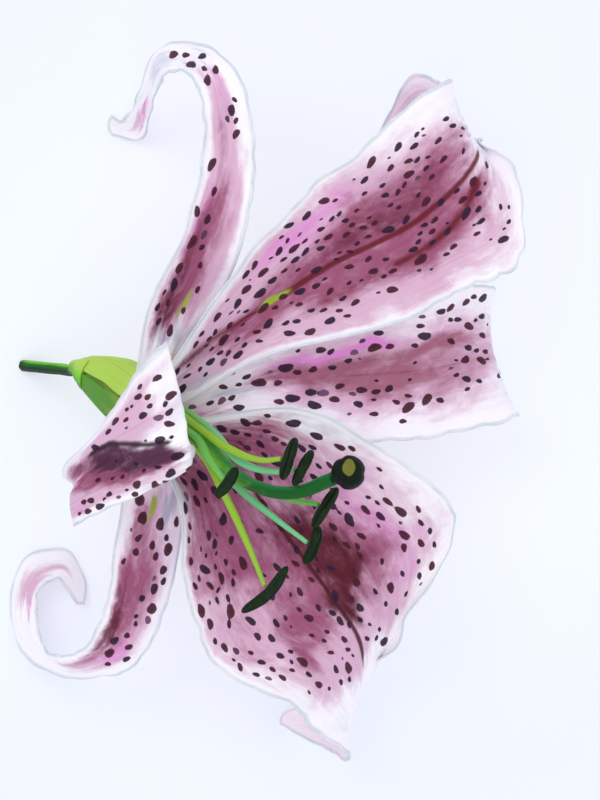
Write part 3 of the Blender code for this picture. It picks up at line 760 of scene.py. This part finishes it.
# Tube: centre + (side x cos + over x sin) x radius, round each station, a point at each end.
# The sides come from the direction that the path uses least.
def makeTube(name, centres, radius, tangents=None, marks=None):
    stations, around = radius.shape
    tangents = unit(np.gradient(centres, axis=0) if tangents is None else tangents)
    across = np.linalg.eigh(tangents.T @ tangents)[1][:, 0]
    side = unit(np.cross(across if across[2] >= 0 else -across, tangents))
    over = np.cross(tangents, side)
    turn = roundTurn(around)[..., None]
    outward = side[:, None] * np.cos(turn) + over[:, None] * np.sin(turn)
    skin = centres[:, None] + outward * radius[..., None]
    number = np.arange(stations * around).reshape(stations, around)
    closed = np.concatenate([number, number[:, :1]], axis=1)
    first, last = np.full(around, stations * around), np.full(around, stations * around + 1)
    ends = np.concatenate([np.stack([first, closed[0, 1:], closed[0, :-1]], -1),
                           np.stack([last, closed[-1, :-1], closed[-1, 1:]], -1)])
    points = np.concatenate([skin.reshape(-1, 3), centres[:1], centres[-1:]])
    # Layers: share along, how far the skin faces up (the finishes paint shade where it faces down), and how
    # far it faces the far side.
    layers = {"along": np.linspace(0, 1, stations)[:, None], "facingUp": outward[..., 2],
              "far": outward[..., 1], **(marks or {})}
    for label, value in layers.items():
        whole = np.broadcast_to(value, (stations, around))
        layers[label] = np.concatenate([whole.ravel(), whole[[0, -1], 0]])
    return putPiece(name, points, gridFaces(closed), ends, layers)


# Stalk: cut end, bend, and the swollen top that carries the flower.
stalk = {
    "route": ((-64, 9, 0.95), (-60, 8.6, 6), (-54, 8, 13), (-49.5, 7.6, 19.2)),
    # Along the axis, radius.  It stops just under the claws' rounded feet.
    "swelling": ((-4.5, 2.2), (-1.5, 3.7), (1, 4.8), (2.55, 5.05)),
    "radius": 1.5, "around": 72, "step": 0.16, "slim": 0.985,
    # Rings of the cut face: share of the radius, and how far each is set in.
    "cutRings": ((0.12, 0.34), (0.4, 0.30), (0.68, 0.12), (0.88, 0.02), (0.97, 0)),
    "topRings": (0.9, 0.5, 0.1),
    "ribs": 6, "ribDepth": 0.03, "fineRibs": 17, "fineDepth": 0.012,
    "ribsFade": (9, 4, 0.8),            # from and to, before the top, and by how much
    "lumpHeight": 0.03, "lumpWave": 2.3, "lumpTurn": 6,
    "grainScale": 700, "streakScale": (60, 420, 200), "bump": 0.00012,
    # The palest green is a painted highlight on the swelling's far side and lime one on the stalk's far side;
    # deep is painted shade on the near and lower sides, and also darkens the cut end.
    "lime": paint(0.42, 0.76, 0.14), "green": paint(0.06, 0.36, 0.04), "deep": paint(0.01, 0.13, 0.03),
    "paleHighlight": paint(0.66, 0.80, 0.30), "cut": paint(0.16, 0.22, 0.10), "pith": paint(0.62, 0.66, 0.40),
}


# Radius x (1 + ribs x cos + fine ribs x cos, fading towards the top) x (1 + slow lumps).
def makeStalk():
    upward, swollen = zip(*stalk["swelling"])
    route = list(stalk["route"]) + onAxis(*upward)
    radii = [stalk["radius"]] * len(stalk["route"]) + list(swollen)
    centres, places, radius = evenly(route, stalk["step"], radii)
    turn = roundTurn(stalk["around"])
    shrink, inset = np.array(stalk["cutRings"]).T
    topRings = np.array(stalk["topRings"])

    # One value for the cut face's rings, the skin's own, and one for the plain face at the top.
    def ended(start, values, end):
        return np.concatenate([np.full(len(shrink), start), values, np.full(len(topRings), end)])[:, None]

    face = centres[0] + unit(centres[1] - centres[0]) * inset[:, None]
    allCentres = np.concatenate([face, centres, np.repeat(centres[-1:], len(topRings), axis=0)])
    scale = np.concatenate([radius[0] * shrink, radius, radius[-1] * topRings])[:, None]
    reach, (fadeFrom, fadeTo, fadeBy) = ended(0.0, places, places[-1]), stalk["ribsFade"]
    fade = 1 - fadeBy * easeBetween(reach, places[-1] - fadeFrom, places[-1] - fadeTo)
    ribs = (1 + stalk["ribDepth"] * np.cos(stalk["ribs"] * turn) * fade
            + stalk["fineDepth"] * np.cos(stalk["fineRibs"] * turn + 0.5) * fade)
    lumps = ended(0.0, stalk["lumpHeight"] * np.sin(places / stalk["lumpWave"]), 0.0)
    lumps = 1 + lumps * np.sin(turn + reach / stalk["lumpTurn"])
    fall = np.gradient(allCentres, axis=0)
    fall[:len(shrink)], fall[-len(topRings):] = centres[1] - centres[0], centres[-1] - centres[-2]
    marks = {"cut": ended(1.0, places * 0, 0.0), "reach": reach,
             "pith": np.concatenate([1 - shrink, np.zeros(len(centres) + len(topRings))])[:, None]}
    piece = makeTube("pedicel_skin", allCentres, scale * ribs * lumps * stalk["slim"], fall, marks)
    hand(piece, "pedicel", stalkFinish(places[-1]))


def stalkFinish(length):
    finish = Finish("stalk_finish", Specular_IOR_Level=0.15, Subsurface_Weight=0.1, Subsurface_Scale=0.001)
    place = finish.place()
    reach = finish.attribute("reach") / length
    grain = finish.noise(place, stalk["grainScale"], 3.0)
    streaks = finish.noise(finish.stretched(place, *stalk["streakScale"]), 1.0, 3.0)
    # Painted light and shade: lime is a painted highlight along the far shoulder, deep green is painted shade
    # along the near one and underneath; on the swelling, a paler painted highlight lies far and green painted
    # shade near. It is also darker towards the cut end.
    shoulder = finish.attribute("far") + (streaks - 0.5) * 0.7
    colour = finish.over(stalk["green"], stalk["lime"], shoulder, 0.35, 0.9)
    colour = finish.over(colour, stalk["deep"], shoulder, 0.3, -0.4)
    colour = finish.over(colour, stalk["deep"], finish.attribute("facingUp") + (streaks - 0.5) * 0.6, 0.0, -0.7)
    colour = finish.over(colour, stalk["deep"], reach + (streaks - 0.5) * 0.2, 0.1, 0.0, 0.7)
    swelling = finish.over(stalk["lime"], stalk["paleHighlight"], shoulder, -0.3, 0.4)
    swelling = finish.over(swelling, stalk["green"], shoulder, -0.1, -0.8, 0.7)
    colour = finish.over(colour, swelling, reach + (streaks - 0.5) * 0.1, 0.66, 0.9)
    pith = finish.attribute("pith") + (grain - 0.5) * 0.5
    face = finish.over(stalk["cut"], stalk["pith"], pith, 0.05, 0.5)
    finish.dress(finish.mix(finish.attribute("cut"), colour, face), 0.42 + (grain - 0.5) * 0.25,
                 grain * 0.6 + streaks, stalk["bump"])
    return finish.material


# The green parts inside: light at the foot, another green further out, deep as painted shade on the
# underside, and, where given, a glint as a painted highlight along the far side.
greens = {"streakScale": (380, 380, 90), "grainScale": 1500, "bump": 0.0001}


def greenFinish(name, light, middle, deep, glint=None, **fixed):
    finish = Finish(name, Subsurface_Weight=0.12, Subsurface_Scale=0.001, **fixed)
    place = finish.place()
    streaks = finish.noise(finish.stretched(place, *greens["streakScale"]), 1.0, 3.0)
    grain = finish.noise(place, greens["grainScale"], 2.0)
    colour = finish.over(light, middle, finish.attribute("along") + (streaks - 0.5) * 0.35, 0.36, 0.7)
    colour = finish.over(colour, deep, finish.attribute("facingUp") + (streaks - 0.5) * 1.2, 0.1, -0.7, 0.75)
    if glint:
        colour = finish.over(colour, glint, finish.attribute("far") + (streaks - 0.5) * 0.6, 0.2, 0.8, 0.55)
    finish.dress(colour, 0.36 + (grain - 0.5) * 0.25, streaks + grain * 0.5, greens["bump"])
    return finish.material


# Ovary and style, up to the stigma.
pistil = {
    "ovary": ((3, 1), (8, 2.1), (18, 2.1), (27, 1.5)),        # along the axis, radius
    "around": 60, "ovaryStep": 0.25, "ovaryFurrow": 0.1, "ovarySlim": 0.99,
    "style": ((-15.5, -9.5, 54.5), (-10, -16, 61), (-2, -21, 67), (7, -22, 72), (15, -19, 76)),
    "styleStart": (27.3, 31.3),                               # along the axis, before the route
    "styleStep": 0.2, "styleRadius": 1.6, "styleWaist": 0.05, "styleTip": 1.7, "tipFrom": 0.8,
    "styleSides": 0.045, "styleTwist": 2,
    # teal is the style's painted highlight and deep its painted shade underneath; the ovary takes green for
    # its painted shade.
    "light": paint(0.46, 0.74, 0.22), "green": paint(0.03, 0.34, 0.10), "teal": paint(0.14, 0.58, 0.34),
    "deep": paint(0.01, 0.17, 0.05),
}

stigma = {
    "middle": (19.5, -17.2, 78.4), "radius": 4.1, "around": 150, "rings": 110,
    "pole": 0.02,                           # how near the first and last rings come, in radians
    "grainSeed": 11, "grainHeight": 0.007,  # heights are shares of the radius
    "lobeStart": 0.6, "lobeDepth": 0.09, "lobeWidth": 0.32,
    "seamDepth": 0.05, "seamTight": 3.2, "seamFrom": (1.9, 2.6), "dimpleDepth": 0.14, "dimpleWidth": 0.42,
    # Where the painted highlight on top lies, off the middle, and its size.
    "highlightPlace": 0.3, "highlightSize": (0.42, 0.55),
    "cloudScale": 420, "pitScale": 2600, "bump": 0.0002,
    # groove is painted shade in the lobes' furrows; olive is the painted highlight on top.
    "knob": paint(0.03, 0.075, 0.035), "groove": paint(0.02, 0.05, 0.03), "moss": paint(0.10, 0.20, 0.08),
    "olive": paint(0.44, 0.44, 0.15),
}
seatGap = 0.3                               # left where one piece ends at another


def stopShort(start, target, radius):
    reach = np.subtract(target, start)
    return start + reach * (1 - (radius + seatGap) / np.linalg.norm(reach))


# Ovary: radius x (1 - furrow x (1 - |sin 3 turn|^0.5)).  Style: waisted in the middle, wider at the
# tip, and three-sided by (1 + sides x cos(3 turn + twist)).
def makePistil():
    turn = roundTurn(pistil["around"])
    upward, radii = zip(*pistil["ovary"])
    centres, places, radius = evenly(onAxis(*upward), pistil["ovaryStep"], radii)
    furrows = 1 - pistil["ovaryFurrow"] * (1 - np.abs(np.sin(3 * turn)) ** 0.5)
    ovary = makeTube("ovary_skin", centres, radius[:, None] * furrows * pistil["ovarySlim"])
    hand(ovary, "ovary",
         greenFinish("ovary_finish", pistil["light"], pistil["light"], pistil["green"]))

    route = onAxis(*pistil["styleStart"]) + list(pistil["style"])
    route.append(stopShort(route[-1], stigma["middle"], stigma["radius"]))
    centres, places = evenly(route, pistil["styleStep"])
    share = (places / places[-1])[:, None]
    size = pistil["styleRadius"] * (1 - pistil["styleWaist"] * np.sin(np.pi * share) ** 2)
    size = size + (pistil["styleTip"] - pistil["styleRadius"]) * easeBetween(share, pistil["tipFrom"], 1.0)
    sides = 1 + pistil["styleSides"] * np.cos(3 * turn + pistil["styleTwist"] * share)
    style = makeTube("style_skin", centres, size * sides)
    hand(style, "style",
         greenFinish("style_finish", pistil["light"], pistil["green"], pistil["deep"], pistil["teal"],
                     Specular_IOR_Level=0.2))


# Stigma: a ball, r = R x (1 - three lobes' furrows - their seams - dimple at the top + fine grains),
# pole to pole.
def makeStigma():
    radius, rings, around = stigma["radius"], stigma["rings"], stigma["around"]
    polar = np.linspace(stigma["pole"], np.pi - stigma["pole"], rings)[:, None]     # 0 below, pi above
    turn = roundTurn(around)
    grains = np.random.default_rng(stigma["grainSeed"]).normal(0.0, 1.0, (rings, around))
    grains = (grains + np.roll(grains, 1, 0) + np.roll(grains, 1, 1) + np.roll(grains, (1, 1), (0, 1))) / 4
    third = np.sin(1.5 * (turn + stigma["lobeStart"]))
    groove = np.sin(polar) ** 1.2 * np.exp(-(third / stigma["lobeWidth"]) ** 2)
    seam = np.exp(-(third * np.sin(polar) * stigma["seamTight"]) ** 2)
    seam = seam * easeBetween(polar, *stigma["seamFrom"])
    dimple = stigma["dimpleDepth"] * np.exp(-((np.pi - polar) / stigma["dimpleWidth"]) ** 2)
    ball = radius * (1 - stigma["lobeDepth"] * groove - stigma["seamDepth"] * seam - dimple
                     + stigma["grainHeight"] * grains)
    height = -radius * np.cos(polar) * (1 - dimple)
    centres = np.array(stigma["middle"]) + height * np.array((0.0, 0.0, 1.0))
    upward = np.repeat([[0.0, 0.0, 1.0]], rings, axis=0)
    wide, deep = stigma["highlightSize"]
    aside = np.hypot(np.sin(polar) * np.sin(turn) / wide,
                     (np.sin(polar) * np.cos(turn) + stigma["highlightPlace"]) / deep)
    top = easeBetween(1.15 - aside, 0.0, 0.4) * (polar > np.pi / 2)
    piece = makeTube("stigma_knob", centres, ball * np.sin(polar), upward,
                     {"top": top, "lobe": groove, "rough": (grains + 1) / 2})
    finish = Finish("stigma_finish", Specular_IOR_Level=0.12, Coat_Roughness=0.2)
    place = finish.place()
    cloud = finish.noise(place, stigma["cloudScale"], 3.0)
    # Painted shade in the furrows, and an olive painted highlight on the top with a little coat over it.
    colour = finish.mix(finish.attribute("lobe") * 0.6, stigma["knob"], stigma["groove"])
    colour = finish.over(colour, stigma["moss"], cloud, 0.5, 0.8, 0.35)
    paintedHighlight = finish.ease(finish.attribute("top") + (cloud - 0.5) * 0.9, 0.35, 0.8)
    colour = finish.mix(paintedHighlight * 0.9, colour, stigma["olive"])
    finish.surface("Coat Weight", paintedHighlight * 0.2)
    finish.dress(colour, 0.4 + finish.attribute("rough") * 0.15,
                 finish.noise(place, stigma["pitScale"], 2.0), stigma["bump"], 0.4)
    hand(piece, "stigma", finish.material)


# Stamens: a tapered filament, and an anther hung by its middle.
stamens = {
    "ring": ((3, 1.9), (8, 3.1), (16, 3.4), (28, 3.3)),          # along the axis, away from it
    "footRadius": 0.45, "radius": 0.82, "freeRadius": 0.95, "tipRadius": 0.58, "clearance": 0.32,
    "around": 28, "step": 0.25, "flatSides": 0.07,
    "footEnds": 0.1, "swells": (0.45, 0.7), "tapers": (0.75, 1),  # shares of a filament's length
    # Place round the pistil, free route, anther's start, middle and end, filament's colours.
    "plants": (
        (125, ((-15.4, -7.6, 59.5), (-8.5, -12, 67), (-1, -14.4, 72.5)),
         ((7, -9, 76), (5.3, -13.8, 76.5), (3.8, -19, 76)), "yellow"),
        (65, ((-12.9, -8, 58.6), (-6, -15, 66), (2, -17.2, 70.6)),
         ((11, -12, 74.2), (8.6, -16.2, 74.2), (6.5, -20.5, 74.2)), "teal"),
        (10, ((-15, -9, 51), (-7, -18, 57), (4, -23.5, 63)),
         ((17, -21, 69.5), (14.2, -25.4, 69.8), (11.1, -30.6, 69.5)), "green"),
        (-55, ((-15.5, -12.4, 53), (-7, -21.4, 58), (2.5, -29, 63)),
         ((12.4, -30.3, 65.8), (11.3, -35.5, 67), (9, -39.5, 66.5)), "teal"),
        (-115, ((-16.8, -12.2, 56), (-10.5, -22.6, 61.5), (-5, -34, 64)),
         ((5, -40, 68), (0.3, -46.5, 68.5), (-6, -51, 68)), "yellow"),
        (-150, ((-17.6, -8.6, 58.8), (-14, -14, 67.5)),
         ((-7, -16, 78), (-9.3, -20, 78.2), (-12, -23, 78)), "green")),
    # Each: light at the foot, the green further out, and the painted shade underneath.
    "filaments": {
        "yellow": (paint(0.54, 0.80, 0.20), paint(0.55, 0.72, 0.12), paint(0.26, 0.46, 0.06)),
        "teal": (paint(0.52, 0.80, 0.30), paint(0.42, 0.76, 0.52), paint(0.08, 0.42, 0.20)),
        "green": (paint(0.50, 0.78, 0.24), paint(0.40, 0.72, 0.30), paint(0.10, 0.40, 0.12))},
}

anthers = {
    "radius": 1.45, "around": 64, "step": 0.11,
    "fullness": (3, 0.45), "endShare": 0.004, "waistDepth": 0.08, "waistWidth": 0.07,
    "furrowDepth": 0.3, "furrowWidth": 0.15, "sideFurrow": 0.5, "sideWidth": 0.16, "wander": 0.15,
    "grainSeed": 20, "grainHeight": 0.035, "cloudScale": 500, "pitScale": 4200, "bump": 0.0001,
    # black is painted shade, underneath and in the furrows.
    "bottle": paint(0.045, 0.125, 0.055), "olive": paint(0.11, 0.20, 0.08), "black": paint(0.015, 0.04, 0.02),
}


# Radius: swells from the foot, again outside the funnel, then tapers to the hinge; the sides are
# flattened by (1 + flat sides x cos 2 turn).
def makeFilament(number, ringPlace, freeRoute, hinge, tint):
    build = stamens
    route = [besideAxis(along, away, ringPlace) for along, away in build["ring"]] + list(freeRoute)
    route.append(stopShort(freeRoute[-1], hinge, anthers["radius"] + build["clearance"]))
    centres, places = evenly(route, build["step"])
    share = (places / places[-1])[:, None]
    size = build["radius"] + (build["freeRadius"] - build["radius"]) * easeBetween(share, *build["swells"])
    size = size - (build["freeRadius"] - build["tipRadius"]) * easeBetween(share, *build["tapers"])
    size = size - (build["radius"] - build["footRadius"]) * easeBetween(share, build["footEnds"], 0.0)
    sides = 1 + build["flatSides"] * np.cos(2 * roundTurn(build["around"]))
    filament = makeTube(f"filament_{number}_skin", centres, size * sides)
    hand(filament, f"filament_{number}",
         greenFinish(f"filament_{number}_finish", *build["filaments"][tint]))


# Anther: R x (1 - |2s - 1|^3)^0.45 along, two lengthwise furrows round it and two faint ones between,
# a waist at the hinge, and pollen grains.
def makeAnther(number, bar):
    build = anthers
    centres, places = evenly(bar, build["step"])
    share = np.clip(places / places[-1], build["endShare"], 1 - build["endShare"])[:, None]
    turn, wander = roundTurn(build["around"]), build["wander"] * np.sin(share * 7 + number)
    power, root = build["fullness"]
    body = build["radius"] * (1 - np.abs(2 * share - 1) ** power) ** root
    furrow = (np.exp(-(np.sin((turn - wander) / 2) / build["furrowWidth"]) ** 2)
              + np.exp(-(np.cos((turn - wander) / 2) / build["furrowWidth"]) ** 2)
              + build["sideFurrow"] * np.exp(-(np.cos(turn + wander) / build["sideWidth"]) ** 2))
    waist = 1 - build["waistDepth"] * np.exp(-((share - 0.5) / build["waistWidth"]) ** 2)
    grains = np.random.default_rng(build["grainSeed"] + number).random((len(places), build["around"]))
    size = body * waist * (1 - build["furrowDepth"] * furrow) + build["grainHeight"] * grains * (body > 0.5)
    anther = makeTube(f"anther_{number}_bar", centres, size, None, {"furrow": furrow, "grain": grains})
    finish = Finish(f"anther_{number}_finish", Specular_IOR_Level=0.15)
    place = finish.place()
    cloud = finish.noise(place, build["cloudScale"] + 20 * number, 3.0)
    grain = finish.attribute("grain")
    colour = finish.over(build["bottle"], build["olive"], cloud + (grain - 0.5) * 0.5, 0.4, 0.75)
    # Painted shade: black underneath and along the furrows.
    colour = finish.over(colour, build["black"], finish.attribute("facingUp") + (cloud - 0.5), 0.1, -0.6, 0.6)
    colour = finish.over(colour, build["black"], finish.attribute("furrow"), 0.25, 0.8, 0.85)
    finish.dress(colour, 0.62 + (grain - 0.5) * 0.3, finish.noise(place, build["pitScale"], 1.0),
                 build["bump"], 0.6)
    hand(anther, f"anther_{number}", finish.material)


makeStalk()
makePistil()
makeStigma()
for plantNumber, (ringPlace, freeRoute, bar, tint) in enumerate(stamens["plants"], start=1):
    makeFilament(plantNumber, ringPlace, freeRoute, bar[1], tint)
    makeAnther(plantNumber, bar)
print("stalk, pistil and stamens made")


# The camera looks straight down, as over a specimen on a table.
view = {"place": (0.0099, 0.00085, 0.869), "lens": 150.0, "sensor": 36.0}     # metres, then millimetres
camera = bpy.data.objects.new("camera", bpy.data.cameras.new("camera"))
camera.location = view["place"]
camera.data.lens = view["lens"]
camera.data.sensor_width = view["sensor"]
bpy.context.scene.collection.objects.link(camera)
bpy.context.scene.camera = camera

# A pale floor that turns a little cooler away from the middle, in metres.
studio = {
    "halfFloor": 6.0,
    "floor": paint(0.80, 0.815, 0.835), "farFloor": paint(0.755, 0.772, 0.835),
    "glow": (0.93, 0.97, 1.0, 1.0), "farGlow": (0.86, 0.88, 1.0, 1.0), "glowStrength": 0.36,
    "tint": (0.04, 0.13),                        # distance where it begins and is full
    "cloudScale": 6.0, "cloudPush": 0.05,        # how the clouds move that distance about
    "roughness": 0.85,
    "world": ((0.965, 0.98, 1.0, 1.0), 0.90),
    "aim": (0.0, 0.0, 0.02),
    "lamps": (                                   # name, place, size, power
        ("key", (-0.55, 0.65, 1.1), 1.0, 3.6),
        ("fill", (0.8, -0.2, 0.9), 1.1, 1.6),
        ("top", (0.0, -0.5, 1.3), 1.0, 1.4)),
}


def makeStudio():
    floor = bpy.data.objects.new("floor", bpy.data.meshes.new("floor"))
    wide = studio["halfFloor"]
    floor.data.from_pydata([(-wide, -wide, 0), (wide, -wide, 0), (wide, wide, 0), (-wide, wide, 0)],
                           [], [(0, 1, 2, 3)])
    finish = Finish("floor_finish", Specular_IOR_Level=0.15)
    place = finish.place()
    away = finish.node("ShaderNodeVectorMath", {"operation": "LENGTH"}, {0: place}, "Value")
    clouds = (finish.noise(place, studio["cloudScale"], 2.0) - 0.5) * studio["cloudPush"]
    tint = finish.ease(away + clouds, *studio["tint"])
    finish.surface("Base Color", finish.mix(tint, studio["floor"], studio["farFloor"]))
    finish.surface("Roughness", studio["roughness"])
    finish.surface("Emission Color", finish.mix(tint, studio["glow"], studio["farGlow"]))
    finish.surface("Emission Strength", studio["glowStrength"])
    floor.data.materials.append(finish.material)
    bpy.context.scene.collection.objects.link(floor)
    for name, place, size, power in studio["lamps"]:
        lamp = bpy.data.lights.new(name, "AREA")
        lamp.shape, lamp.size, lamp.energy = "DISK", size, power
        lampObject = bpy.data.objects.new(name, lamp)
        lampObject.location = place
        aim = np.subtract(studio["aim"], place)
        pitch = math.acos(-unit(aim)[2])
        lampObject.rotation_euler = (pitch, 0.0, math.atan2(aim[1], aim[0]) - math.pi / 2)
        bpy.context.scene.collection.objects.link(lampObject)
    world = bpy.data.worlds.new("studio")
    world.use_nodes = True
    background = world.node_tree.nodes["Background"]
    background.inputs[0].default_value, background.inputs[1].default_value = studio["world"]
    bpy.context.scene.world = world
    bpy.context.scene.view_settings.view_transform = "Standard"


makeStudio()
